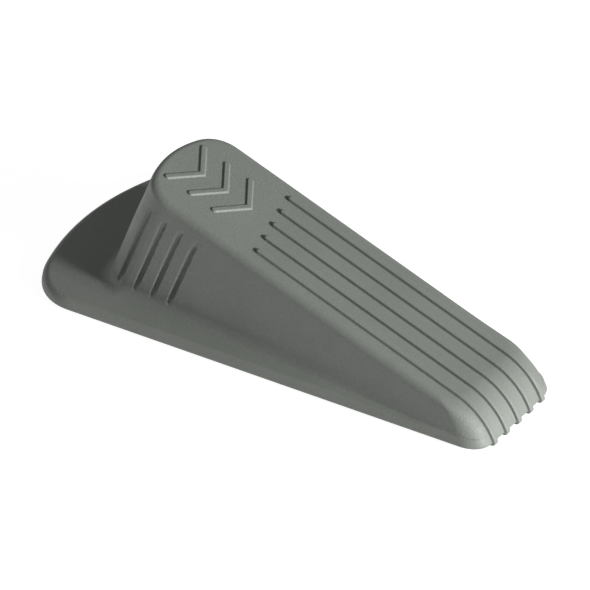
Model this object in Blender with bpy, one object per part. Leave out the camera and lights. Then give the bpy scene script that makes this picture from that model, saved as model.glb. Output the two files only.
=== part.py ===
"""Rubber door wedge: one moulded piece. Metres, +Z up, toe towards +X, sole on the floor at z = 0."""
import math

import bmesh
import bpy
import numpy as np

MM = 0.001

# Overall size
LENGTH = 120.65 * MM
WIDTH = 57.15 * MM

# Ramp that goes under the door
RAMP_ANGLE = math.radians(14.6)
HEEL_X = -35.4 * MM  # where the ramp plane meets the heel wall, as if the edge were sharp
HEEL_TOP = 31.55 * MM  # height of the ramp plane there
RAMP_HALF_WIDTH = 13.1 * MM  # to the sharp edge; the flat is narrower by the edge radius
EDGE_RADIUS = 1.9 * MM

# Walls of the wedge body
SIDE_DRAFT = math.radians(11.5)
HEEL_DRAFT = math.radians(18)
HEEL_CROWN = 4.0 * MM
HEEL_CORNER = 5.4 * MM
TOE_CORNER = (5.0 * MM, 4.7 * MM)  # at the foot of the wall: along, across
BROW_CORNER = (4.6 * MM, 4.1 * MM)  # just under the ramp's edge
FOOT_FILLET = 3.0 * MM
FILLET_LIFT = 0.15 * MM  # the fillet starts this far above the flange's round
FILLET_CORNER = 0.8  # share of the fillet added to the tail corner at its outer edge
LEAST_WALL = 0.2 * MM  # least height of the wall, where the ramp comes down to its foot
CORNER_SHRINK = 0.6  # share by which a corner tightens as its outline moves in

# Flange round the foot, with its tail behind the heel
SOLE_Z = 0.65 * MM
SOLE_EDGE = 0.45 * MM
FLANGE_TOP = 3.4 * MM
FLANGE_TOP_TOE = 2.8 * MM
FLANGE_THINS = (15 * MM, 52 * MM)  # the flange thins between these x
FLANGE_EDGE_RADIUS = 1.7 * MM
TAIL_CROWN = 7.3 * MM
TAIL_CORNER = 9.6 * MM
TOE_CROWN = 0.3 * MM
FLANGE_TOE_CORNER = (5.0 * MM, 4.7 * MM)  # along, across
FLANGE_TOE_HALF_WIDTH = 14.9 * MM
TOE_MERGE = 0.3 * MM  # all that is left of the flange's round at the toe
TOE_MERGE_START = 0.1  # share of it taken at the start of the round
FLANGE_STEP = 0.1 * MM  # the flange's round starts this far in, and its tail corners swell by as much

# Nose: the ramp rolls over into a steep front face
NOSE_RADIUS = 14.3 * MM
NOSE_FACE = math.radians(64)
NOSE_SOLE_RADIUS = 0.45 * MM  # where the front face turns under to the sole
NOSE_BLEND = 0.16  # share of the side's length over which the walls turn into the nose
NOSE_BLEND_REACH = 1.9  # lengths of that blend from its start to its end, round the corner

# Ribs on the ramp, which roll over the nose and run under the sole
RIB_COUNT = 5
RIB_PITCH = 4.52 * MM
RIB_CREST = 1.2 * MM
RIB_ROOT = 1.5 * MM
RIB_HEIGHT = 0.72 * MM
RIB_AT_TOE = 0.72 * MM  # how far the ribs stand out where the nose turns under
RIB_START_X = (-4.9 * MM, -9.6 * MM)  # first rib at -Y, last rib at +Y
RIB_EMBED = 0.3 * MM
RIB_BEVEL = 0.4  # share of the height taken off the crest's corners
RIB_GROWTH = 1 / 6  # share of the nose over which a rib grows from the treads' height to its own

# Shorter tread ribs under the sole, outside the five
OUTER_TREADS = 3
TREAD_INSET = 3.0 * MM  # from the outline to a tread's end

# Finger grooves down each side wall near the heel
GROOVE_COUNT = 4
GROOVE_PITCH = 4.6 * MM
GROOVE_WIDTH = 1.45 * MM
GROOVE_DEPTH = (0.5 * MM, 0.27 * MM, 0.16 * MM)  # at the foot, halfway, at the top
GROOVE_FOOT_X = -36.4 * MM  # the groove nearest the heel, at the foot of the wall
GROOVE_LEAN = math.radians(16.5)
GROOVE_TOP_DROP = (4.2 * MM, 4.7 * MM)  # below the ramp plane, nearest the heel and last
GROOVE_POCKET = 1.3 * MM  # how far a groove carries on down into the fillet
GROOVE_MIDDLE = 0.4  # share of the wall's height at which the middle depth is reached
GROOVE_STATIONS = (0.0, 0.35, 0.7, 0.95)  # shares of a groove's length where its section is set
GROOVE_SECTION = ((1.0, 0.0), (0.72, 0.75), (0.3, 1.0))  # share of the half width, share of the depth
GROOVE_RUN_OUT = 0.05 * MM  # depth left at the very top
GROOVE_REACH = 2.0 * MM  # how far the cutter stands clear of the wall

# Plain raised chevrons on the heel
MARK_X = (-26.5 * MM, -20.0 * MM, -13.5 * MM)  # tips of the chevrons
MARK_HALF_WIDTH = 6.6 * MM
MARK_SWEEP = 4.6 * MM
MARK_STROKE = 1.3 * MM
MARK_HEIGHT = 0.4 * MM
MARK_BEVEL = 0.12 * MM

# Material
RUBBER_COLOUR = (0.19, 0.2, 0.19, 1.0)
RUBBER_ROUGHNESS = 0.6

# How finely the curves are stepped

QUARTER_HANDLE = 0.5523  # Bezier handle of a quarter circle of radius 1
SOLE_STEPS = 2
ROUND_STEPS = 3
FILLET_STEPS = 3
WALL_STEPS = 3
BROW_STEPS = 4
POINTS_AROUND = (7, 8, 16, 9, 8)  # tail, tail corner, side, toe corner, toe of half an outline
RIB_EDGE_STEPS = 5
RIB_NOSE_STEPS = 12
RIB_OUTLINE_STEPS = 3
GROOVE_OUTLINE_STEPS = 4


def smooth(t):
    t = np.clip(t, 0.0, 1.0)
    return t * t * (3 - 2 * t)


def blend_corner(p0, t0, p3, t3, count):
    """Points of a corner that leaves p0 along t0 and reaches p3 along t3, without p3."""
    reach = np.linalg.norm(p3 - p0) / math.sqrt(2) * QUARTER_HANDLE
    p1, p2 = p0 + t0 * reach, p3 - t3 * reach
    t = (np.arange(count) / count)[:, None]
    return (1 - t) ** 3 * p0 + 3 * (1 - t) ** 2 * t * p1 + 3 * (1 - t) * t * t * p2 + t ** 3 * p3


def unit(x, y):
    return np.array([x, y]) / math.hypot(x, y)


def half_outline(o, counts):
    """Half a plan outline on the -Y side, from the middle of the tail to the middle of the toe."""
    tail, tail_corner, side, toe_corner, toe = counts
    x0 = o["tail_x"] + o["tail_crown"] + o["tail_corner"]
    x1 = o["toe_x"] - o["toe_crown"] - o["toe_corner"]
    w0, w1 = o["tail_half"], o["toe_half"]
    slope = (w1 - w0) / (x1 - x0)
    y0, y1 = w0 - o["tail_corner"], w1 - o["toe_corner_y"]

    y = y0 * np.arange(tail) / tail
    back = np.column_stack([o["tail_x"] + o["tail_crown"] * (y / w0) ** 2, -y])
    b_end = np.array([o["tail_x"] + o["tail_crown"] * (y0 / w0) ** 2, -y0])
    s_start, s_end = np.array([x0, -w0]), np.array([x1, -w1])
    along = unit(1, -slope)
    corner_1 = blend_corner(b_end, unit(2 * o["tail_crown"] * y0 / w0 ** 2, -1), s_start, along, tail_corner)
    t = (np.arange(side) / side)[:, None]
    flank = s_start + (s_end - s_start) * t
    f_start = np.array([o["toe_x"] - o["toe_crown"] * (y1 / w1) ** 2, -y1])
    corner_2 = blend_corner(s_end, along, f_start, unit(2 * o["toe_crown"] * y1 / w1 ** 2, 1), toe_corner)
    y = y1 * (1 - np.arange(toe + 1) / toe)
    front = np.column_stack([o["toe_x"] - o["toe_crown"] * (y / w1) ** 2, -y])
    return np.concatenate([back, corner_1, flank, corner_2, front])


def ramp_z(x):
    return HEEL_TOP - (x - HEEL_X) * math.tan(RAMP_ANGLE)


def flange_z(x):
    a, b = FLANGE_THINS
    return FLANGE_TOP + (FLANGE_TOP_TOE - FLANGE_TOP) * smooth((x - a) / (b - a))


def nose_arc():
    """Front face of the body in the middle plane: (x, z) where it leaves its foot, its straight length."""
    toe_x = LENGTH / 2 - RIB_AT_TOE
    foot_x = toe_x - NOSE_SOLE_RADIUS * (1 - math.sin(NOSE_FACE))
    foot_z = SOLE_Z + NOSE_SOLE_RADIUS * (1 + math.cos(NOSE_FACE))
    run = NOSE_RADIUS * (math.sin(NOSE_FACE) - math.sin(RAMP_ANGLE))
    rise = NOSE_RADIUS * (math.cos(RAMP_ANGLE) - math.cos(NOSE_FACE))
    # the straight length that puts the end of the arc above it on the ramp plane
    face = (ramp_z(foot_x - run) - foot_z - rise) / (
        math.sin(NOSE_FACE) - math.cos(NOSE_FACE) * math.tan(RAMP_ANGLE)
    )
    return foot_x, foot_z, face


def nose_top():
    """(x, z) in the middle plane where the ramp begins to roll over."""
    x, z, face = nose_arc()
    x -= face * math.cos(NOSE_FACE) + NOSE_RADIUS * (math.sin(NOSE_FACE) - math.sin(RAMP_ANGLE))
    return x, ramp_z(x)


def nose_x(z):
    """x on the front of the body, in the middle plane, at height z."""
    foot_x, foot_z, face = nose_arc()
    r = NOSE_SOLE_RADIUS
    if z < foot_z:
        drop = min(1.0, abs(z - SOLE_Z - r) / r)
        return LENGTH / 2 - RIB_AT_TOE - r * (1 - math.sqrt(1 - drop * drop))
    arc_z = foot_z + face * math.sin(NOSE_FACE)
    if z < arc_z:
        return foot_x - (z - foot_z) / math.tan(NOSE_FACE)
    a = math.acos(min(1.0, math.cos(NOSE_FACE) + (z - arc_z) / NOSE_RADIUS))
    return foot_x - face * math.cos(NOSE_FACE) - NOSE_RADIUS * (math.sin(NOSE_FACE) - math.sin(a))


def shrunk(o, d):
    """The outline o moved in by d."""
    q = dict(o)
    q["tail_x"] += d
    q["tail_half"] -= d
    q["toe_half"] -= d
    q["tail_corner"] -= d * CORNER_SHRINK
    q["toe_corner"] -= d * CORNER_SHRINK
    q["toe_corner_y"] -= d * CORNER_SHRINK
    return q


def mixed(a, b, t):
    return {k: a[k] * (1 - t) + b[k] * t for k in a}


def wall_outline(t):
    """Outline of the body's wall, from its foot at t = 0 to just under the edge at t = 1."""
    foot_z = FLANGE_TOP + FOOT_FILLET
    drop = (HEEL_TOP - foot_z) * (1 - t) + EDGE_RADIUS * t
    toe_drop = (nose_top()[1] - FLANGE_TOP_TOE - FOOT_FILLET) * (1 - t) + EDGE_RADIUS * t
    return {
        "tail_x": HEEL_X - math.tan(HEEL_DRAFT) * drop,
        "toe_x": 0.0,
        "tail_half": RAMP_HALF_WIDTH + math.tan(SIDE_DRAFT) * drop,
        "toe_half": RAMP_HALF_WIDTH + math.tan(SIDE_DRAFT) * toe_drop,
        "tail_crown": HEEL_CROWN,
        "toe_crown": TOE_CROWN,
        "tail_corner": HEEL_CORNER,
        "toe_corner": TOE_CORNER[0] + (BROW_CORNER[0] - TOE_CORNER[0]) * t,
        "toe_corner_y": TOE_CORNER[1] + (BROW_CORNER[1] - TOE_CORNER[1]) * t,
    }


def levels(fine=1):
    """(outline, height over the flanks and heel) for each ring, sole first."""
    flange = {
        "tail_x": -LENGTH / 2,
        "toe_x": 0.0,
        "tail_half": WIDTH / 2 - FLANGE_STEP,
        "toe_half": FLANGE_TOE_HALF_WIDTH,
        "tail_crown": TAIL_CROWN,
        "toe_crown": TOE_CROWN,
        "tail_corner": TAIL_CORNER,
        "toe_corner": FLANGE_TOE_CORNER[0],
        "toe_corner_y": FLANGE_TOE_CORNER[1],
    }
    out = []
    # sole edge, turned under a little
    for i in range(SOLE_STEPS * fine + 1):
        a = math.pi / 2 * i / (SOLE_STEPS * fine)
        z = SOLE_Z + SOLE_EDGE * (1 - math.cos(a))
        out.append((shrunk(flange, SOLE_EDGE * (1 - math.sin(a))), lambda x, z=z: z + 0 * x))
    # flange edge round, which runs out towards the toe
    r = FLANGE_EDGE_RADIUS
    for i in range(ROUND_STEPS * fine + 1):
        a = math.pi / 2 * i / (ROUND_STEPS * fine)
        edge = shrunk(flange, FLANGE_STEP + r * (1 - math.cos(a)))
        merge = TOE_MERGE * (TOE_MERGE_START + (1 - TOE_MERGE_START) * math.sin(a))
        edge["toe_half"] = FLANGE_TOE_HALF_WIDTH - merge
        edge["toe_corner"] = FLANGE_TOE_CORNER[0] - merge
        edge["toe_corner_y"] = FLANGE_TOE_CORNER[1] - merge
        out.append((edge, lambda x, a=a: flange_z(x) - r * (1 - math.sin(a))))
    # concave fillet from the flange up into the wall
    wall_foot = wall_outline(0.0)
    ledge = dict(wall_foot)
    ledge["tail_x"] -= FOOT_FILLET
    ledge["tail_half"] += FOOT_FILLET
    ledge["toe_half"] += FOOT_FILLET * math.tan(SIDE_DRAFT)
    ledge["tail_corner"] += FOOT_FILLET * FILLET_CORNER
    rise = FOOT_FILLET - FILLET_LIFT
    for i in range(FILLET_STEPS * fine):
        a = math.pi / 2 * i / (FILLET_STEPS * fine)
        fillet = mixed(ledge, wall_foot, math.sin(a))
        fillet["toe_half"] = mixed(ledge, wall_foot, 1 - math.cos(a))["toe_half"]
        out.append((fillet, lambda x, a=a: flange_z(x) + FILLET_LIFT + rise * (1 - math.cos(a))))

    def foot_z(x):
        return flange_z(x) + FOOT_FILLET

    def brow_z(x):
        return np.maximum(ramp_z(x) - EDGE_RADIUS, foot_z(x) + LEAST_WALL)

    for i in range(WALL_STEPS * fine):
        t = i / (WALL_STEPS * fine)
        out.append((wall_outline(t), lambda x, t=t: foot_z(x) * (1 - t) + brow_z(x) * t))
    brow = wall_outline(1.0)
    for i in range(BROW_STEPS * fine + 1):
        a = math.pi / 2 * i / (BROW_STEPS * fine)
        out.append(
            (
                shrunk(brow, EDGE_RADIUS * (1 - math.cos(a))),
                lambda x, a=a: brow_z(x) + (ramp_z(x) - brow_z(x)) * math.sin(a),
            )
        )
    return out


def height_share(rule, x):
    """How far up from the sole to the ramp plane the rule lies at x."""
    return (rule(x) - SOLE_Z) / (ramp_z(x) - SOLE_Z)


def ring(level, counts, side_share, turn):
    """One closed ring of points: the level's outline, carried over to the nose's height by turn."""
    outline, rule = level
    toe_z = float(rule(np.array(nose_top()[0])))
    toe_x = nose_x(toe_z)
    plan = half_outline(dict(outline, toe_x=toe_x), counts)
    begin = counts[0] + counts[1]
    start, end = plan[begin], plan[begin + counts[2]]
    plan[begin : begin + counts[2]] = start + (end - start) * side_share[:, None]
    x = plan[:, 0]
    toe_share = (toe_z - SOLE_Z) / (ramp_z(toe_x) - SOLE_Z)
    share = height_share(rule, x) * (1 - turn) + toe_share * turn
    half = np.column_stack([plan, SOLE_Z + (ramp_z(x) - SOLE_Z) * share])
    return np.concatenate([half, (half * [1, -1, 1])[1:-1][::-1]])


def turning(counts, side_share):
    """Share of the nose's own shape at each point of half an outline, from 0 on the flank to 1."""
    begin = counts[0] + counts[1]
    along = np.zeros(sum(counts) + 1)
    along[begin : begin + counts[2]] = side_share
    along[begin + counts[2] :] = 1 + np.arange(counts[3] + counts[4] + 1) / counts[3] * NOSE_BLEND
    return smooth((along - (1 - NOSE_BLEND)) / (NOSE_BLEND * NOSE_BLEND_REACH))


def rings(fine=1):
    """Closed rings of points, levels x points x 3."""
    counts = tuple(c * fine for c in POINTS_AROUND)
    side_share = np.arange(counts[2]) / counts[2]
    turn = turning(counts, side_share)
    return np.array([ring(level, counts, side_share, turn) for level in levels(fine)])


def mesh_of(points, faces, name):
    mesh = bpy.data.meshes.new(name)
    mesh.from_pydata([tuple(p) for p in points], [], faces)
    bm = bmesh.new()
    bm.from_mesh(mesh)
    bmesh.ops.recalc_face_normals(bm, faces=bm.faces)
    bm.to_mesh(mesh)
    bm.free()
    return mesh


def skinned(stack, name):
    """A closed mesh over a stack of rings with the same number of points, with flat ends."""
    count, around = stack.shape[:2]
    faces = [list(range(around)), list(range((count - 1) * around, count * around))]
    for j in range(count - 1):
        for i in range(around):
            k = (i + 1) % around
            faces.append([j * around + i, j * around + k, (j + 1) * around + k, (j + 1) * around + i])
    return mesh_of(stack.reshape(-1, 3), faces, name)


def toe_curve(stack, y):
    """Points (x, z) up the front of the body at this y, from the sole edge to the ramp, evenly spaced."""
    near = stack[:, : stack.shape[1] // 2 + 1]
    found = []
    for row in near:
        row = row[row[:, 0] > 0]
        found.append([np.interp(-abs(y), row[:, 1], row[:, i]) for i in (0, 2)])
    found = np.array(found)
    length = np.concatenate([[0], np.cumsum(np.linalg.norm(np.diff(found, axis=0), axis=1))])
    edge = NOSE_SOLE_RADIUS * (math.pi - NOSE_FACE)
    wanted = np.concatenate(
        [np.linspace(0, edge, RIB_EDGE_STEPS), np.linspace(edge, length[-1], RIB_NOSE_STEPS)[1:]]
    )
    return [(np.interp(s, length, found[:, 0]), np.interp(s, length, found[:, 1])) for s in wanted]


def tail_end(outline, y):
    """x of the tail's outline at this y."""
    back = outline[: int(np.argmin(outline[:, 1])) + 1]
    return float(np.interp(abs(y), -back[:, 1], back[:, 0]))


def bar(path, y, heights, name):
    """A drafted bar whose root follows the (x, z) path at this y, sunk in a little below it."""
    path = np.asarray(path)
    step = np.gradient(path, axis=0)
    step /= np.linalg.norm(step, axis=1)[:, None]
    outward = np.column_stack([step[:, 1], -step[:, 0]])
    stack = []
    for p, n, height in zip(path, outward, heights):
        soft = RIB_BEVEL * height
        side = [
            (RIB_ROOT / 2, -RIB_EMBED),
            (RIB_ROOT / 2, 0.0),
            (RIB_CREST / 2, height - soft),
            (RIB_CREST / 2 - soft / 2, height),
        ]
        section = [(-dy, h) for dy, h in side] + side[::-1]
        stack.append([(p[0] + n[0] * h, y + dy, p[1] + n[1] * h) for dy, h in section])
    return skinned(np.array(stack), name)


def rib_meshes(stack):
    """The five ribs over ramp, nose and sole, then the shorter treads beside them."""
    found = []
    outline = stack[0][: stack.shape[1] // 2 + 1]
    front = outline[int(np.argmin(outline[:, 1])) :]
    for i in range(RIB_COUNT):
        y = (i - (RIB_COUNT - 1) / 2) * RIB_PITCH
        nose = toe_curve(stack, y)
        start = RIB_START_X[0] + (RIB_START_X[1] - RIB_START_X[0]) * i / (RIB_COUNT - 1)
        sole = [(tail_end(outline, y) + TREAD_INSET, SOLE_Z), (nose[0][0] - 2 * NOSE_SOLE_RADIUS, SOLE_Z)]
        path = sole + nose + [(start, ramp_z(start))]
        grown = smooth(np.linspace(0, 1 / RIB_GROWTH, len(nose)))
        heights = [SOLE_Z] * len(sole) + list(SOLE_Z + (RIB_HEIGHT - SOLE_Z) * grown) + [RIB_HEIGHT]
        found.append(bar(path, y, heights, f"rib_{i + 1}"))
    for i in range(OUTER_TREADS):
        y = ((RIB_COUNT + 1) / 2 + i) * RIB_PITCH
        toe = float(np.interp(-y - TREAD_INSET, front[:, 1], front[:, 0]))
        path = [(tail_end(outline, y + TREAD_INSET) + TREAD_INSET, SOLE_Z), (toe, SOLE_Z)]
        for side in (-1, 1):
            found.append(bar(path, side * y, [SOLE_Z] * 2, f"tread_{i + 1}_{side}"))
    return found


def wall_heights(foot_x):
    """Heights of the wall's foot and brow on the line that leans up from foot_x."""
    lean, fall = math.tan(GROOVE_LEAN), math.tan(RAMP_ANGLE)
    foot = float(flange_z(foot_x)) + FOOT_FILLET
    brow = (ramp_z(foot_x - foot * lean) - EDGE_RADIUS) / (1 + lean * fall)
    return foot, brow


def wall_point(foot_x, t):
    """A point of the -Y wall on the line that leans up from foot_x, t up from foot to brow."""
    foot, brow = wall_heights(foot_x)
    z = foot + (brow - foot) * t
    x = foot_x + (z - foot) * math.tan(GROOVE_LEAN)
    counts = tuple(GROOVE_OUTLINE_STEPS * c for c in POINTS_AROUND)
    plan = half_outline(dict(wall_outline(t), toe_x=LENGTH / 2), counts)
    flank = plan[plan[:, 1] < -RAMP_HALF_WIDTH / 2]
    return np.array([x, float(np.interp(x, flank[:, 0], flank[:, 1])), z])


def groove_mesh(index, side, name):
    """Cutter for one finger groove: sunk in most at its foot and running out near its top."""
    foot_x = GROOVE_FOOT_X + index * GROOVE_PITCH
    foot, brow = wall_heights(foot_x)
    lean = wall_point(foot_x, 1.0) - wall_point(foot_x, 0.0)
    lean /= np.linalg.norm(lean)
    drop = GROOVE_TOP_DROP[0] + (GROOVE_TOP_DROP[1] - GROOVE_TOP_DROP[0]) * index / (GROOVE_COUNT - 1)
    top = 1 - (drop - EDGE_RADIUS) / (brow - foot)
    stations = [(wall_point(foot_x, 0.0) - lean * GROOVE_POCKET, GROOVE_DEPTH[0])]
    for share in GROOVE_STATIONS:
        t = share * top
        stations.append((wall_point(foot_x, t), float(np.interp(t, (0, GROOVE_MIDDLE, 1), GROOVE_DEPTH))))
    stations.append((wall_point(foot_x, top), GROOVE_RUN_OUT))
    half = GROOVE_WIDTH / 2
    stack = []
    for p, depth in stations:
        edge = [(1.0, GROOVE_REACH)] + [(across, -down * depth) for across, down in GROOVE_SECTION]
        section = [(-across, out) for across, out in edge] + edge[::-1]
        stack.append([(p[0] + across * half, side * (out - p[1]), p[2]) for across, out in section])
    return skinned(np.array(stack), name)


def chevron_mesh(tip_x, name):
    """One raised chevron on the ramp with its tip towards the toe."""
    arm = math.hypot(MARK_SWEEP, MARK_HALF_WIDTH) / MARK_HALF_WIDTH
    half_stroke = MARK_STROKE / 2 * arm

    def outline(bevel):
        end = MARK_HALF_WIDTH - bevel
        back = MARK_SWEEP * end / MARK_HALF_WIDTH
        lead, trail = tip_x + half_stroke - bevel * arm, tip_x - half_stroke + bevel * arm
        side = [(lead, 0.0), (lead - back, end), (trail - back, end), (trail, 0.0)]
        return side + [(trail - back, -end), (lead - back, -end)]

    slope = 1 / math.cos(RAMP_ANGLE)
    stack = []
    for bevel, height in ((0.0, -RIB_EMBED), (0.0, MARK_HEIGHT - MARK_BEVEL), (MARK_BEVEL, MARK_HEIGHT)):
        stack.append([(x, y, ramp_z(x) + height * slope) for x, y in outline(bevel)])
    return skinned(np.array(stack), name)


def rubber():
    material = bpy.data.materials.new("grey_rubber")
    material.use_nodes = True
    shader = material.node_tree.nodes["Principled BSDF"]
    shader.inputs["Base Color"].default_value = RUBBER_COLOUR
    shader.inputs["Roughness"].default_value = RUBBER_ROUGHNESS
    return material


def main():
    for obj in list(bpy.data.objects):
        bpy.data.objects.remove(obj)
    parts = bpy.data.collections.new("door_wedge")
    cutters = bpy.data.collections.new("cutters")
    for collection in (parts, cutters):
        bpy.context.scene.collection.children.link(collection)

    wedge = bpy.data.objects.new("rubber_wedge", skinned(rings(), "rubber_wedge"))
    parts.objects.link(wedge)
    wedge.data.materials.append(rubber())

    tools = [(mesh, "UNION") for mesh in rib_meshes(rings(RIB_OUTLINE_STEPS))]
    tools += [(chevron_mesh(x, f"mark_{i + 1}"), "UNION") for i, x in enumerate(MARK_X)]
    for i in range(GROOVE_COUNT):
        for side in (-1, 1):
            tools.append((groove_mesh(i, side, f"groove_{i + 1}_{side}"), "DIFFERENCE"))
    for mesh, operation in tools:
        cutter = bpy.data.objects.new(mesh.name, mesh)
        cutters.objects.link(cutter)
        cutter.hide_render = True
        cutter.display_type = "WIRE"
        step = wedge.modifiers.new(mesh.name, "BOOLEAN")
        step.operation = operation
        step.solver = "EXACT"
        step.object = cutter
    for polygon in wedge.data.polygons:
        polygon.use_smooth = True


main()
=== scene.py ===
"""A rubber door wedge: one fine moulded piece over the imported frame, on a pale floor. Metres, toe to +X."""
import math

import bmesh
import bpy
import numpy as np
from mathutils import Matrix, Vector


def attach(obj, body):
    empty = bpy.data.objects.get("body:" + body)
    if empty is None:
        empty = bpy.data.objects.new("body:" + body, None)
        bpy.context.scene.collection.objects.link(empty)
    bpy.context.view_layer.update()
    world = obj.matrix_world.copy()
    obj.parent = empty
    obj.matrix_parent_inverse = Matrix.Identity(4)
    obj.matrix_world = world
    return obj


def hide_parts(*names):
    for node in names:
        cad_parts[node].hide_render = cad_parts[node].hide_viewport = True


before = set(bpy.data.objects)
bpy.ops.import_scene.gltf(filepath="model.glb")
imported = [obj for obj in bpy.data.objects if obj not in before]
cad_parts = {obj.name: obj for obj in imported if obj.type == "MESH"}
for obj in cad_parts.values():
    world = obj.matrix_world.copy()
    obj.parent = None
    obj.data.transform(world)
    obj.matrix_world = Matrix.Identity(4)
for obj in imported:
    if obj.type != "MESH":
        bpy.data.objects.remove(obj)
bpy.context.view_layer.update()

MM = 0.001

# Overall size
LENGTH = 120.65 * MM
WIDTH = 57.15 * MM

# Ramp that goes under the door
RAMP_ANGLE = math.radians(14.6)
HEEL_X = -35.4 * MM  # where the ramp plane meets the heel wall, as if the edge were sharp
HEEL_TOP = 31.55 * MM  # height of the ramp plane there
RAMP_HALF_WIDTH = 13.1 * MM  # to the sharp edge; the flat is narrower by the edge radius
EDGE_RADIUS = 1.9 * MM

# Walls of the wedge body
SIDE_DRAFT = math.radians(11.5)
HEEL_DRAFT = math.radians(18)
HEEL_CROWN = 4.0 * MM
HEEL_CORNER = 5.4 * MM
TOE_CORNER = (5.0 * MM, 4.7 * MM)  # at the foot of the wall: along, across
BROW_CORNER = (4.6 * MM, 4.1 * MM)  # just under the ramp's edge
FOOT_FILLET = 3.0 * MM
FILLET_LIFT = 0.15 * MM  # the fillet starts this far above the flange's round
FILLET_CORNER = 0.8  # share of the fillet added to the tail corner at its outer edge
LEAST_WALL = 0.2 * MM  # least height of the wall, where the ramp comes down to its foot
CORNER_SHRINK = 0.6  # share by which a corner tightens as its outline moves in

# Flange round the foot, with its tail behind the heel
SOLE_Z = 0.65 * MM
SOLE_EDGE = 0.45 * MM
FLANGE_TOP = 3.4 * MM
FLANGE_TOP_TOE = 2.8 * MM
FLANGE_THINS = (15 * MM, 52 * MM)  # the flange thins between these x
FLANGE_EDGE_RADIUS = 1.7 * MM
TAIL_CROWN = 7.3 * MM
TAIL_CORNER = 9.6 * MM
TOE_CROWN = 0.3 * MM
FLANGE_TOE_CORNER = (5.0 * MM, 4.7 * MM)  # along, across
FLANGE_TOE_HALF_WIDTH = 14.9 * MM
TOE_MERGE = 0.3 * MM  # all that is left of the flange's round at the toe
TOE_MERGE_START = 0.1  # share of it taken at the start of the round
FLANGE_STEP = 0.1 * MM  # the flange's round starts this far in, and its tail corners swell by as much

# Nose: the ramp rolls over into a steep front face
NOSE_RADIUS = 14.3 * MM
NOSE_FACE = math.radians(64)
NOSE_SOLE_RADIUS = 0.45 * MM  # where the front face turns under to the sole
NOSE_BLEND = 0.16  # share of the side's length over which the walls turn into the nose
NOSE_BLEND_REACH = 1.9  # lengths of that blend from its start to its end, round the corner

# Ribs on the ramp, which roll over the nose and run under the sole
RIB_COUNT = 5
RIB_PITCH = 4.52 * MM
RIB_ROOT = 1.5 * MM
RIB_HEIGHT = 0.72 * MM
RIB_AT_TOE = 0.72 * MM  # how far the ribs stand out where the nose turns under
RIB_START_X = (-4.9 * MM, -9.6 * MM)  # first rib at -Y, last rib at +Y
RIB_EMBED = 0.3 * MM

# Shorter tread ribs under the sole, outside the five
OUTER_TREADS = 3
TREAD_INSET = 3.0 * MM  # from the outline to a tread's end

# Finger grooves down each side wall near the heel
GROOVE_COUNT = 4
GROOVE_PITCH = 4.6 * MM
GROOVE_WIDTH = 1.45 * MM
GROOVE_DEPTH = (0.5 * MM, 0.27 * MM, 0.16 * MM)  # at the foot, halfway, at the top
GROOVE_FOOT_X = -36.4 * MM  # the groove nearest the heel, at the foot of the wall
GROOVE_LEAN = math.radians(16.5)
GROOVE_TOP_DROP = (4.2 * MM, 4.7 * MM)  # below the ramp plane, nearest the heel and last
GROOVE_MIDDLE = 0.4  # share of a groove's length at which its middle depth is reached
GROOVE_ROUND = 1.3  # power of the groove's section, 1 for a plain parabola
GROOVE_END_RISE = 1.7 * MM  # the foot of a groove lies this far above the flange
GROOVE_END_FADE = 0.7 * MM  # over this it runs out at its foot
GROOVE_TOP_FADE = 1.3 * MM  # and over this at its top

# Plain raised chevrons on the heel
MARK_X = (-26.5 * MM, -20.0 * MM, -13.5 * MM)  # tips of the chevrons
MARK_HALF_WIDTH = 6.6 * MM
MARK_SWEEP = 4.6 * MM
MARK_STROKE = 1.3 * MM
MARK_HEIGHT = 0.4 * MM

QUARTER_HANDLE = 0.5523  # Bezier handle of a quarter circle of radius 1
SOLE_STEPS = 2
ROUND_STEPS = 3
FILLET_STEPS = 3
WALL_STEPS = 3
BROW_STEPS = 4
STEPS_FINE = 6  # every step up the body is cut into this many
POINTS_AROUND = (24, 84, 230, 56, 24)  # tail, tail corner, side, toe corner, toe of half an outline
SIDE_DENSE = (0.3, 0.62)  # share of the side that holds the grooves, share of the side's points in it


def smooth(t):
    t = np.clip(t, 0.0, 1.0)
    return t * t * (3 - 2 * t)


def blend_corner(p0, t0, p3, t3, count):
    """Points of a corner that leaves p0 along t0 and reaches p3 along t3, without p3."""
    reach = np.linalg.norm(p3 - p0) / math.sqrt(2) * QUARTER_HANDLE
    p1, p2 = p0 + t0 * reach, p3 - t3 * reach
    t = (np.arange(count) / count)[:, None]
    return (1 - t) ** 3 * p0 + 3 * (1 - t) ** 2 * t * p1 + 3 * (1 - t) * t * t * p2 + t ** 3 * p3


def unit(x, y):
    return np.array([x, y]) / math.hypot(x, y)


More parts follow.
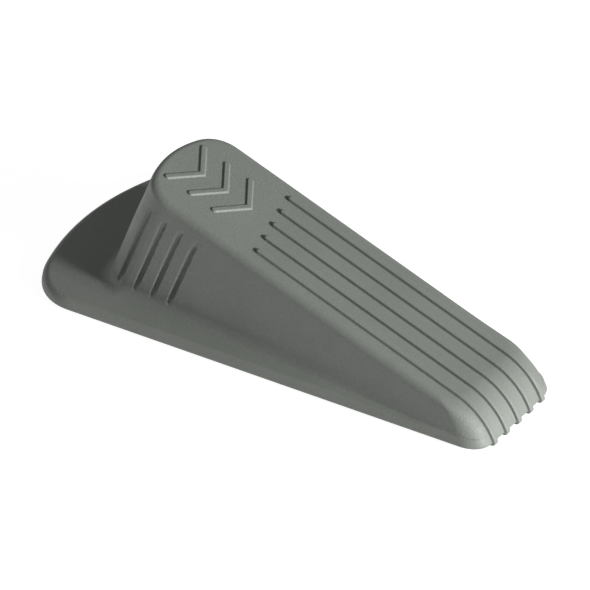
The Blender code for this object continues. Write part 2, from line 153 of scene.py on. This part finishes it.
def half_outline(o, counts):
    """Half a plan outline on the -Y side, from the middle of the tail to the middle of the toe."""
    tail, tail_corner, side, toe_corner, toe = counts
    x0 = o["tail_x"] + o["tail_crown"] + o["tail_corner"]
    x1 = o["toe_x"] - o["toe_crown"] - o["toe_corner"]
    w0, w1 = o["tail_half"], o["toe_half"]
    slope = (w1 - w0) / (x1 - x0)
    y0, y1 = w0 - o["tail_corner"], w1 - o["toe_corner_y"]

    y = y0 * np.arange(tail) / tail
    back = np.column_stack([o["tail_x"] + o["tail_crown"] * (y / w0) ** 2, -y])
    b_end = np.array([o["tail_x"] + o["tail_crown"] * (y0 / w0) ** 2, -y0])
    s_start, s_end = np.array([x0, -w0]), np.array([x1, -w1])
    along = unit(1, -slope)
    corner_1 = blend_corner(b_end, unit(2 * o["tail_crown"] * y0 / w0 ** 2, -1), s_start, along, tail_corner)
    t = (np.arange(side) / side)[:, None]
    flank = s_start + (s_end - s_start) * t
    f_start = np.array([o["toe_x"] - o["toe_crown"] * (y1 / w1) ** 2, -y1])
    corner_2 = blend_corner(s_end, along, f_start, unit(2 * o["toe_crown"] * y1 / w1 ** 2, 1), toe_corner)
    y = y1 * (1 - np.arange(toe + 1) / toe)
    front = np.column_stack([o["toe_x"] - o["toe_crown"] * (y / w1) ** 2, -y])
    return np.concatenate([back, corner_1, flank, corner_2, front])


def ramp_z(x):
    return HEEL_TOP - (x - HEEL_X) * math.tan(RAMP_ANGLE)


def flange_z(x):
    a, b = FLANGE_THINS
    return FLANGE_TOP + (FLANGE_TOP_TOE - FLANGE_TOP) * smooth((x - a) / (b - a))


def nose_arc():
    """Front face of the body in the middle plane: (x, z) where it leaves its foot, its straight length."""
    toe_x = LENGTH / 2 - RIB_AT_TOE
    foot_x = toe_x - NOSE_SOLE_RADIUS * (1 - math.sin(NOSE_FACE))
    foot_z = SOLE_Z + NOSE_SOLE_RADIUS * (1 + math.cos(NOSE_FACE))
    run = NOSE_RADIUS * (math.sin(NOSE_FACE) - math.sin(RAMP_ANGLE))
    rise = NOSE_RADIUS * (math.cos(RAMP_ANGLE) - math.cos(NOSE_FACE))
    # the straight length that puts the end of the arc above it on the ramp plane
    face = (ramp_z(foot_x - run) - foot_z - rise) / (
        math.sin(NOSE_FACE) - math.cos(NOSE_FACE) * math.tan(RAMP_ANGLE)
    )
    return foot_x, foot_z, face


def nose_top():
    """(x, z) in the middle plane where the ramp begins to roll over."""
    x, z, face = nose_arc()
    x -= face * math.cos(NOSE_FACE) + NOSE_RADIUS * (math.sin(NOSE_FACE) - math.sin(RAMP_ANGLE))
    return x, ramp_z(x)


def nose_x(z):
    """x on the front of the body, in the middle plane, at height z."""
    foot_x, foot_z, face = nose_arc()
    r = NOSE_SOLE_RADIUS
    if z < foot_z:
        drop = min(1.0, abs(z - SOLE_Z - r) / r)
        return LENGTH / 2 - RIB_AT_TOE - r * (1 - math.sqrt(1 - drop * drop))
    arc_z = foot_z + face * math.sin(NOSE_FACE)
    if z < arc_z:
        return foot_x - (z - foot_z) / math.tan(NOSE_FACE)
    a = math.acos(min(1.0, math.cos(NOSE_FACE) + (z - arc_z) / NOSE_RADIUS))
    return foot_x - face * math.cos(NOSE_FACE) - NOSE_RADIUS * (math.sin(NOSE_FACE) - math.sin(a))


def shrunk(o, d):
    """The outline o moved in by d."""
    q = dict(o)
    q["tail_x"] += d
    q["tail_half"] -= d
    q["toe_half"] -= d
    q["tail_corner"] -= d * CORNER_SHRINK
    q["toe_corner"] -= d * CORNER_SHRINK
    q["toe_corner_y"] -= d * CORNER_SHRINK
    return q


def mixed(a, b, t):
    return {k: a[k] * (1 - t) + b[k] * t for k in a}


def wall_outline(t):
    """Outline of the body's wall, from its foot at t = 0 to just under the edge at t = 1."""
    foot_z = FLANGE_TOP + FOOT_FILLET
    drop = (HEEL_TOP - foot_z) * (1 - t) + EDGE_RADIUS * t
    toe_drop = (nose_top()[1] - FLANGE_TOP_TOE - FOOT_FILLET) * (1 - t) + EDGE_RADIUS * t
    return {
        "tail_x": HEEL_X - math.tan(HEEL_DRAFT) * drop,
        "toe_x": 0.0,
        "tail_half": RAMP_HALF_WIDTH + math.tan(SIDE_DRAFT) * drop,
        "toe_half": RAMP_HALF_WIDTH + math.tan(SIDE_DRAFT) * toe_drop,
        "tail_crown": HEEL_CROWN,
        "toe_crown": TOE_CROWN,
        "tail_corner": HEEL_CORNER,
        "toe_corner": TOE_CORNER[0] + (BROW_CORNER[0] - TOE_CORNER[0]) * t,
        "toe_corner_y": TOE_CORNER[1] + (BROW_CORNER[1] - TOE_CORNER[1]) * t,
    }


def levels(fine=1):
    """(outline, height over the flanks and heel) for each ring, sole first."""
    flange = {
        "tail_x": -LENGTH / 2,
        "toe_x": 0.0,
        "tail_half": WIDTH / 2 - FLANGE_STEP,
        "toe_half": FLANGE_TOE_HALF_WIDTH,
        "tail_crown": TAIL_CROWN,
        "toe_crown": TOE_CROWN,
        "tail_corner": TAIL_CORNER,
        "toe_corner": FLANGE_TOE_CORNER[0],
        "toe_corner_y": FLANGE_TOE_CORNER[1],
    }
    out = []
    # sole edge, turned under a little
    for i in range(SOLE_STEPS * fine + 1):
        a = math.pi / 2 * i / (SOLE_STEPS * fine)
        z = SOLE_Z + SOLE_EDGE * (1 - math.cos(a))
        out.append((shrunk(flange, SOLE_EDGE * (1 - math.sin(a))), lambda x, z=z: z + 0 * x))
    # flange edge round, which runs out towards the toe
    r = FLANGE_EDGE_RADIUS
    for i in range(ROUND_STEPS * fine + 1):
        a = math.pi / 2 * i / (ROUND_STEPS * fine)
        edge = shrunk(flange, FLANGE_STEP + r * (1 - math.cos(a)))
        merge = TOE_MERGE * (TOE_MERGE_START + (1 - TOE_MERGE_START) * math.sin(a))
        edge["toe_half"] = FLANGE_TOE_HALF_WIDTH - merge
        edge["toe_corner"] = FLANGE_TOE_CORNER[0] - merge
        edge["toe_corner_y"] = FLANGE_TOE_CORNER[1] - merge
        out.append((edge, lambda x, a=a: flange_z(x) - r * (1 - math.sin(a))))
    # concave fillet from the flange up into the wall
    wall_foot = wall_outline(0.0)
    ledge = dict(wall_foot)
    ledge["tail_x"] -= FOOT_FILLET
    ledge["tail_half"] += FOOT_FILLET
    ledge["toe_half"] += FOOT_FILLET * math.tan(SIDE_DRAFT)
    ledge["tail_corner"] += FOOT_FILLET * FILLET_CORNER
    rise = FOOT_FILLET - FILLET_LIFT
    for i in range(FILLET_STEPS * fine):
        a = math.pi / 2 * i / (FILLET_STEPS * fine)
        fillet = mixed(ledge, wall_foot, math.sin(a))
        fillet["toe_half"] = mixed(ledge, wall_foot, 1 - math.cos(a))["toe_half"]
        out.append((fillet, lambda x, a=a: flange_z(x) + FILLET_LIFT + rise * (1 - math.cos(a))))

    def foot_z(x):
        return flange_z(x) + FOOT_FILLET

    def brow_z(x):
        return np.maximum(ramp_z(x) - EDGE_RADIUS, foot_z(x) + LEAST_WALL)

    for i in range(WALL_STEPS * fine):
        t = i / (WALL_STEPS * fine)
        out.append((wall_outline(t), lambda x, t=t: foot_z(x) * (1 - t) + brow_z(x) * t))
    brow = wall_outline(1.0)
    for i in range(BROW_STEPS * fine + 1):
        a = math.pi / 2 * i / (BROW_STEPS * fine)
        out.append(
            (
                shrunk(brow, EDGE_RADIUS * (1 - math.cos(a))),
                lambda x, a=a: brow_z(x) + (ramp_z(x) - brow_z(x)) * math.sin(a),
            )
        )
    return out


def height_share(rule, x):
    """How far up from the sole to the ramp plane the rule lies at x."""
    return (rule(x) - SOLE_Z) / (ramp_z(x) - SOLE_Z)


def ring(level, counts, side_share, turn):
    """One closed ring of points: the level's outline, carried over to the nose's height by turn."""
    outline, rule = level
    toe_z = float(rule(np.array(nose_top()[0])))
    toe_x = nose_x(toe_z)
    plan = half_outline(dict(outline, toe_x=toe_x), counts)
    begin = counts[0] + counts[1]
    start, end = plan[begin], plan[begin + counts[2]]
    plan[begin : begin + counts[2]] = start + (end - start) * side_share[:, None]
    x = plan[:, 0]
    toe_share = (toe_z - SOLE_Z) / (ramp_z(toe_x) - SOLE_Z)
    share = height_share(rule, x) * (1 - turn) + toe_share * turn
    half = np.column_stack([plan, SOLE_Z + (ramp_z(x) - SOLE_Z) * share])
    return np.concatenate([half, (half * [1, -1, 1])[1:-1][::-1]])


def turning(counts, side_share):
    """Share of the nose's own shape at each point of half an outline, from 0 on the flank to 1."""
    begin = counts[0] + counts[1]
    along = np.zeros(sum(counts) + 1)
    along[begin : begin + counts[2]] = side_share
    along[begin + counts[2] :] = 1 + np.arange(counts[3] + counts[4] + 1) / counts[3] * NOSE_BLEND
    return smooth((along - (1 - NOSE_BLEND)) / (NOSE_BLEND * NOSE_BLEND_REACH))


# ---- the fine surface

def mesh_of(points, faces, name):
    mesh = bpy.data.meshes.new(name)
    mesh.from_pydata(np.asarray(points).tolist(), [], faces)
    bm = bmesh.new()
    bm.from_mesh(mesh)
    bmesh.ops.recalc_face_normals(bm, faces=bm.faces)
    bm.to_mesh(mesh)
    bm.free()
    return mesh


def skinned(stack, name):
    """A closed mesh over a stack of rings with the same number of points, with flat ends."""
    count, around = stack.shape[:2]
    faces = [list(range(around)), list(range((count - 1) * around, count * around))]
    for j in range(count - 1):
        for i in range(around):
            k = (i + 1) % around
            faces.append([j * around + i, j * around + k, (j + 1) * around + k, (j + 1) * around + i])
    return mesh_of(stack.reshape(-1, 3), faces, name)


RIB_EDGE_STEPS = 12
RIB_NOSE_STEPS = 36


def toe_curve(stack, y):
    """Points (x, z) up the front of the body at this y, from the sole edge to the ramp."""
    near = stack[:, : stack.shape[1] // 2 + 1]
    found = []
    for row in near:
        row = row[row[:, 0] > 0]
        found.append([np.interp(-abs(y), row[:, 1], row[:, i]) for i in (0, 2)])
    found = np.array(found)
    length = np.concatenate([[0], np.cumsum(np.linalg.norm(np.diff(found, axis=0), axis=1))])
    edge = NOSE_SOLE_RADIUS * (math.pi - NOSE_FACE)
    wanted = np.concatenate(
        [np.linspace(0, edge, RIB_EDGE_STEPS), np.linspace(edge, length[-1], RIB_NOSE_STEPS)[1:]]
    )
    return [(np.interp(s, length, found[:, 0]), np.interp(s, length, found[:, 1])) for s in wanted]


def tail_end(outline, y):
    """x of the tail's outline at this y."""
    back = outline[: int(np.argmin(outline[:, 1])) + 1]
    return float(np.interp(abs(y), -back[:, 1], back[:, 0]))


RIB_FLARE = 0.22 * MM  # how far the root spreads on each side
RIB_BLUNT = 0.12 * MM  # length of a tread's blunt end
RIB_END = 0.55  # share of the height left at a blunt end
RIB_GROWTH = 1 / 6  # share of the nose over which a rib grows from the treads' height to its own
RIB_SECTION = (  # offset from the root's side, height as a share: up one side of a rib
    (-RIB_FLARE, -0.05),
    (-0.1 * MM, 0.02),
    (-0.02 * MM, 0.12),
    (0.02 * MM, 0.3),
    (0.08 * MM, 0.62),
    (0.12 * MM, 0.8),
    (0.19 * MM, 0.92),
    (0.3 * MM, 0.99),
    (0.45 * MM, 1.0),
)
RIB_RISE = 0.9 * MM  # length over which a rib rises out of the ramp
RIB_START = (  # share of that length, of the height and of the width at a rib's rounded start
    (1.0, 1.0, 1.0),
    (0.75, 1.0, 0.95),
    (0.5, 0.94, 0.82),
    (0.25, 0.78, 0.6),
    (0.0, 0.3, 0.25),
)


def bar(path, y, heights, name, widths=None):
    """A drafted bar with a flared root and a rounded crest along the (x, z) path at this y."""
    if widths is None:
        widths = [1.0] * len(path)
    path = np.asarray(path)
    step = np.gradient(path, axis=0)
    step /= np.linalg.norm(step, axis=1)[:, None]
    outward = np.column_stack([step[:, 1], -step[:, 0]])
    half = RIB_ROOT / 2
    stack = []
    last = len(path) - 1
    for i, (p, n, height, wide) in enumerate(zip(path, outward, heights, widths)):
        rise = [(-half - RIB_FLARE, -RIB_EMBED)] + [(-half + d, height * h) for d, h in RIB_SECTION]
        if i in (0, last):
            rise = [(dy, min(h, height * RIB_END)) for dy, h in rise]
        section = rise + [(-dy, h) for dy, h in rise[::-1]]
        stack.append([(p[0] + n[0] * h, y + dy * wide, p[1] + n[1] * h) for dy, h in section])
    return skinned(np.array(stack), name)


def rib_meshes(stack):
    """The five ribs over ramp, nose and sole, then the shorter treads beside them."""
    found = []
    outline = stack[0][: stack.shape[1] // 2 + 1]
    front = outline[int(np.argmin(outline[:, 1])) :]
    along, tall, wide = np.array(RIB_START).T
    for i in range(RIB_COUNT):
        y = (i - (RIB_COUNT - 1) / 2) * RIB_PITCH
        nose = toe_curve(stack, y)
        start = RIB_START_X[0] + (RIB_START_X[1] - RIB_START_X[0]) * i / (RIB_COUNT - 1)
        tail = tail_end(outline, y) + TREAD_INSET
        sole = [(x, SOLE_Z) for x in (tail, tail + RIB_BLUNT, nose[0][0] - 2 * NOSE_SOLE_RADIUS)]
        path = sole + nose + [(x, ramp_z(x)) for x in start + RIB_RISE * along]
        on_nose = SOLE_Z + (RIB_HEIGHT - SOLE_Z) * smooth(np.linspace(0, 1 / RIB_GROWTH, len(nose)))
        heights = [SOLE_Z] * len(sole) + list(on_nose) + list(RIB_HEIGHT * tall)
        widths = [1.0] * (len(sole) + len(nose)) + list(wide)
        found.append(bar(path, y, heights, f"rib_{i + 1}", widths))
    for i in range(OUTER_TREADS):
        y = ((RIB_COUNT + 1) / 2 + i) * RIB_PITCH
        toe = float(np.interp(-y - TREAD_INSET, front[:, 1], front[:, 0]))
        tail = tail_end(outline, y + TREAD_INSET) + TREAD_INSET
        path = [(x, SOLE_Z) for x in (tail, tail + RIB_BLUNT, toe - RIB_BLUNT, toe)]
        for side in (-1, 1):
            found.append(bar(path, side * y, [SOLE_Z] * len(path), f"tread_{i + 1}_{side}"))
    return found


CHEVRON_ARC_STEPS = 10
CHEVRON_PROFILE = (  # offset of the outline, share of the height: up the side of a stroke
    (0.16 * MM, -1.4),
    (0.16 * MM, -0.06),
    (0.07 * MM, 0.04),
    (0.0, 0.2),
    (-0.06 * MM, 0.6),
    (-0.12 * MM, 0.86),
    (-0.24 * MM, 1.0),
)


def chevron_outline(tip_x, r):
    """Outline of a chevron stroke of half width r with round ends."""
    end_x = tip_x - MARK_SWEEP
    start = math.atan2(MARK_SWEEP, MARK_HALF_WIDTH)  # way the arm's leading side faces
    reach = r / math.cos(start)
    points = [(tip_x + reach, 0.0)]
    for i in range(CHEVRON_ARC_STEPS + 1):
        angle = start + math.pi * i / CHEVRON_ARC_STEPS
        points.append((end_x + r * math.cos(angle), MARK_HALF_WIDTH + r * math.sin(angle)))
    points.append((tip_x - reach, 0.0))
    points += [(x, -y) for x, y in points[1:-1][::-1]]
    return points


def chevron_mesh(tip_x, name):
    """One raised chevron on the ramp with its tip towards the toe."""
    tall = MARK_HEIGHT / math.cos(RAMP_ANGLE)
    stack = []
    for offset, h in CHEVRON_PROFILE:
        outline = chevron_outline(tip_x, MARK_STROKE / 2 + offset)
        stack.append([(x, y, ramp_z(x) + h * tall) for x, y in outline])
    return skinned(np.array(stack), name)


def cut_grooves(stack, foot_level, brow_level):
    """Sinks the finger grooves into both side walls, moving only points of the walls and their fillets."""
    low, high = stack[foot_level], stack[brow_level]
    lean_out = (high[:, 1] - low[:, 1]) / (high[:, 2] - low[:, 2])
    for ring_points in stack:
        x, y, z = ring_points.T
        wall_y = np.abs(low[:, 1] + lean_out * (z - low[:, 2]))
        deepest = np.zeros(len(x))
        for i in range(GROOVE_COUNT):
            foot_x = GROOVE_FOOT_X + i * GROOVE_PITCH
            foot_z = float(flange_z(foot_x)) + FOOT_FILLET
            centre = foot_x + (z - foot_z) * math.tan(GROOVE_LEAN)
            across = np.abs(x - centre) * math.cos(GROOVE_LEAN) / (GROOVE_WIDTH / 2)
            top_z = ramp_z(centre) - np.interp(i, (0, GROOVE_COUNT - 1), GROOVE_TOP_DROP)
            end_z = float(flange_z(foot_x)) + GROOVE_END_RISE
            share = np.clip((z - foot_z) / np.maximum(top_z - foot_z, MM), 0, 1)
            depth = np.interp(share, (0, GROOVE_MIDDLE, 1), GROOVE_DEPTH)
            section = np.clip(1 - across**2, 0, 1) ** GROOVE_ROUND
            run_out = smooth((top_z - z) / GROOVE_TOP_FADE) * smooth((z - end_z) / GROOVE_END_FADE)
            sunk = np.maximum(np.abs(y) - (wall_y - depth * section), 0) * (section > 0) * run_out
            deepest = np.maximum(deepest, np.where(np.abs(y) > RAMP_HALF_WIDTH / 2, sunk, 0))
        ring_points[:, 1] = y - np.sign(y) * deepest
    return stack


def fine_rings():
    """The rings of the body at full resolution, with and without the finger grooves."""
    counts = POINTS_AROUND
    near, crowd = SIDE_DENSE
    dense = int(counts[2] * crowd)
    side_share = np.concatenate(
        [
            np.linspace(0, near, dense, endpoint=False),
            np.linspace(near, 1, counts[2] - dense, endpoint=False),
        ]
    )
    turn = turning(counts, side_share)
    plain = np.array([ring(level, counts, side_share, turn) for level in levels(STEPS_FINE)])
    foot_level = (SOLE_STEPS + ROUND_STEPS + FILLET_STEPS) * STEPS_FINE + 2
    return cut_grooves(plain.copy(), foot_level, foot_level + WALL_STEPS * STEPS_FINE), plain


def united(base, extra, name):
    """One closed mesh: base with every mesh of extra joined to it."""
    holder = bpy.data.objects.new(name, base)
    bpy.context.scene.collection.objects.link(holder)
    bm = bmesh.new()
    for mesh in extra:
        bm.from_mesh(mesh)
    tools = bpy.data.meshes.new(name + "_ribs")
    bm.to_mesh(tools)
    bm.free()
    added = bpy.data.objects.new(name + "_ribs", tools)
    bpy.context.scene.collection.objects.link(added)
    step = holder.modifiers.new("ribs", "BOOLEAN")
    step.operation = "UNION"
    step.solver = "EXACT"
    step.object = added
    graph = bpy.context.evaluated_depsgraph_get()
    mesh = bpy.data.meshes.new_from_object(holder.evaluated_get(graph))
    bpy.data.objects.remove(added)
    bpy.data.objects.remove(holder)
    mesh.name = name
    return mesh


SHARP_ANGLE = math.radians(38)
NORMAL_WEIGHT = 100  # the largest faces count for nearly all


def build_wedge():
    """The whole moulding, in place over its node of the frame."""
    grooved, plain = fine_rings()
    base = skinned(grooved, "wedge_body")
    extra = rib_meshes(plain) + [chevron_mesh(x, f"mark_{i + 1}") for i, x in enumerate(MARK_X)]
    mesh = united(base, extra, "moulded_wedge")
    mesh.shade_smooth()
    mesh.set_sharp_from_angle(angle=SHARP_ANGLE)
    wedge = bpy.data.objects.new("moulded_wedge", mesh)
    bpy.context.scene.collection.objects.link(wedge)
    normals = wedge.modifiers.new("normals", "WEIGHTED_NORMAL")
    normals.keep_sharp = True
    normals.weight = NORMAL_WEIGHT
    mesh.materials.clear()
    mesh.materials.append(rubber())
    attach(wedge, "root")
    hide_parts("rubber_wedge")
    return wedge


# ---- looks


TONE = ((0.104, 0.113, 0.101, 1), (0.114, 0.123, 0.111, 1))  # darkest and lightest rubber
FLECK = ((0.9, 0.9, 0.9, 1), (1.08, 1.08, 1.08, 1))
SHEEN = ((0.52, 0.52, 0.52, 1), (0.62, 0.62, 0.62, 1))  # roughness
CLOUD_SIZE = 1 / 60  # metres across one patch of each pattern
FLECK_SIZE = 1 / 3200
SHEEN_SIZE = 1 / 400
GRAIN_SIZE = 1 / 2600
GRAIN_DEPTH = 0.1 * MM
GRAIN_ROUGH = 0.6
RUBBER_IOR = 1.5
RUBBER_SPECULAR = 0.36


def rubber():
    """Mid-grey moulded rubber with a fine sandy grain."""
    material = bpy.data.materials.new("grey_rubber")
    material.use_nodes = True
    nodes, links = material.node_tree.nodes, material.node_tree.links
    shader = nodes["Principled BSDF"]
    shader.inputs["IOR"].default_value = RUBBER_IOR
    shader.inputs["Specular IOR Level"].default_value = RUBBER_SPECULAR
    place = nodes.new("ShaderNodeTexCoord")

    def noise(size, detail, rough=0.5):
        node = nodes.new("ShaderNodeTexNoise")
        node.inputs["Scale"].default_value = 1 / size
        node.inputs["Detail"].default_value = detail
        node.inputs["Roughness"].default_value = rough
        links.new(place.outputs["Object"], node.inputs["Vector"])
        return node

    def ramp(source, ends, start=0.3, end=0.7):
        node = nodes.new("ShaderNodeValToRGB")
        node.color_ramp.elements[0].position = start
        node.color_ramp.elements[1].position = end
        node.color_ramp.elements[0].color, node.color_ramp.elements[1].color = ends
        links.new(source.outputs["Fac"], node.inputs["Fac"])
        return node

    tone = ramp(noise(CLOUD_SIZE, 4), TONE)
    fleck = ramp(noise(FLECK_SIZE, 2, GRAIN_ROUGH), FLECK)
    mix = nodes.new("ShaderNodeMix")
    mix.data_type = "RGBA"
    mix.blend_type = "MULTIPLY"
    mix.inputs["Factor"].default_value = 1.0
    links.new(tone.outputs["Color"], mix.inputs["A"])
    links.new(fleck.outputs["Color"], mix.inputs["B"])
    links.new(mix.outputs["Result"], shader.inputs["Base Color"])

    sheen = ramp(noise(SHEEN_SIZE, 3), SHEEN)
    links.new(sheen.outputs["Color"], shader.inputs["Roughness"])

    grain = nodes.new("ShaderNodeBump")
    grain.inputs["Strength"].default_value = 1.0
    grain.inputs["Distance"].default_value = GRAIN_DEPTH
    links.new(noise(GRAIN_SIZE, 3, GRAIN_ROUGH).outputs["Fac"], grain.inputs["Height"])
    links.new(grain.outputs["Normal"], shader.inputs["Normal"])
    return material


FLOOR_COLOUR = (0.25, 0.25, 0.25, 1)
FLOOR_ROUGHNESS = 0.9
FLOOR_SPECULAR = 0.1
FLOOR_GLOW = 0.9


def floor_material():
    """Pale and glowing, so that it reads as white without lighting the object from below too much."""
    material = bpy.data.materials.new("pale_floor")
    material.use_nodes = True
    shader = material.node_tree.nodes["Principled BSDF"]
    shader.inputs["Base Color"].default_value = FLOOR_COLOUR
    shader.inputs["Roughness"].default_value = FLOOR_ROUGHNESS
    shader.inputs["Specular IOR Level"].default_value = FLOOR_SPECULAR
    shader.inputs["Emission Color"].default_value = (1, 1, 1, 1)
    shader.inputs["Emission Strength"].default_value = FLOOR_GLOW
    return material


# ---- stage, light and camera

VIEW_AZIMUTH = math.radians(36.6)
VIEW_ELEVATION = math.radians(38.6)
VIEW_DISTANCE = 1.05
VIEW_WIDTH = 0.1320  # width of the frame at the object
SENSOR = 36  # sensor width in mm
CLIP = (0.05, 20)
AIM = (-0.71 * MM, 5.85 * MM)  # right and up of the origin, where the view centre lies

FLOOR_REACH = 4.0
FLOOR_DROP = 0.02 * MM  # the floor lies this far below the sole
WORLD_GLOW = 0.34

KEY_ELEVATION = math.radians(17)
KEY_SIDE = 0.04  # how far the key light lies towards +Y
KEY_SIZE = (0.3, 0.2)
KEY_POWER = 47
FILL_DIRECTION = (-1.0, -0.4, 0.15)
FILL_SIZE = (0.6, 0.4)
FILL_POWER = 4
LIGHT_DISTANCE = 1.3


def make_camera():
    """A long lens that looks down on the near side and the toe."""
    a, e = VIEW_AZIMUTH, VIEW_ELEVATION
    back = Vector((math.sin(a) * math.cos(e), -math.cos(a) * math.cos(e), math.sin(e)))
    right = Vector((math.cos(a), math.sin(a), 0))
    up = back.cross(right)
    data = bpy.data.cameras.new("camera")
    data.sensor_width = SENSOR
    data.lens = SENSOR * VIEW_DISTANCE / VIEW_WIDTH
    data.clip_start, data.clip_end = CLIP
    camera = bpy.data.objects.new("camera", data)
    camera.location = right * AIM[0] + up * AIM[1] + back * VIEW_DISTANCE
    camera.rotation_mode = "QUATERNION"
    camera.rotation_quaternion = (-back).to_track_quat("-Z", "Y")
    bpy.context.scene.collection.objects.link(camera)
    bpy.context.scene.camera = camera


def area_light(name, direction, size, power):
    """A rectangular light that faces the origin from this direction."""
    data = bpy.data.lights.new(name, "AREA")
    data.shape = "RECTANGLE"
    data.size, data.size_y = size
    data.energy = power
    light = bpy.data.objects.new(name, data)
    direction = Vector(direction).normalized()
    light.location = direction * LIGHT_DISTANCE
    light.rotation_mode = "QUATERNION"
    light.rotation_quaternion = direction.to_track_quat("Z", "Y")
    bpy.context.scene.collection.objects.link(light)


def make_stage():
    """The floor, the world and the lights."""
    mesh = bpy.data.meshes.new("floor")
    bm = bmesh.new()
    bmesh.ops.create_grid(bm, x_segments=1, y_segments=1, size=FLOOR_REACH)
    bm.to_mesh(mesh)
    bm.free()
    floor = bpy.data.objects.new("floor", mesh)
    floor.location.z = -FLOOR_DROP
    bpy.context.scene.collection.objects.link(floor)
    mesh.materials.append(floor_material())

    world = bpy.data.worlds.new("studio")
    bpy.context.scene.world = world
    world.use_nodes = True
    background = world.node_tree.nodes["Background"]
    background.inputs["Color"].default_value = (1, 1, 1, 1)
    background.inputs["Strength"].default_value = WORLD_GLOW

    key_direction = (math.cos(KEY_ELEVATION), KEY_SIDE, math.sin(KEY_ELEVATION))
    area_light("key", key_direction, KEY_SIZE, KEY_POWER)
    area_light("left_fill", FILL_DIRECTION, FILL_SIZE, FILL_POWER)
    bpy.context.scene.view_settings.view_transform = "Standard"


make_camera()
build_wedge()
make_stage()
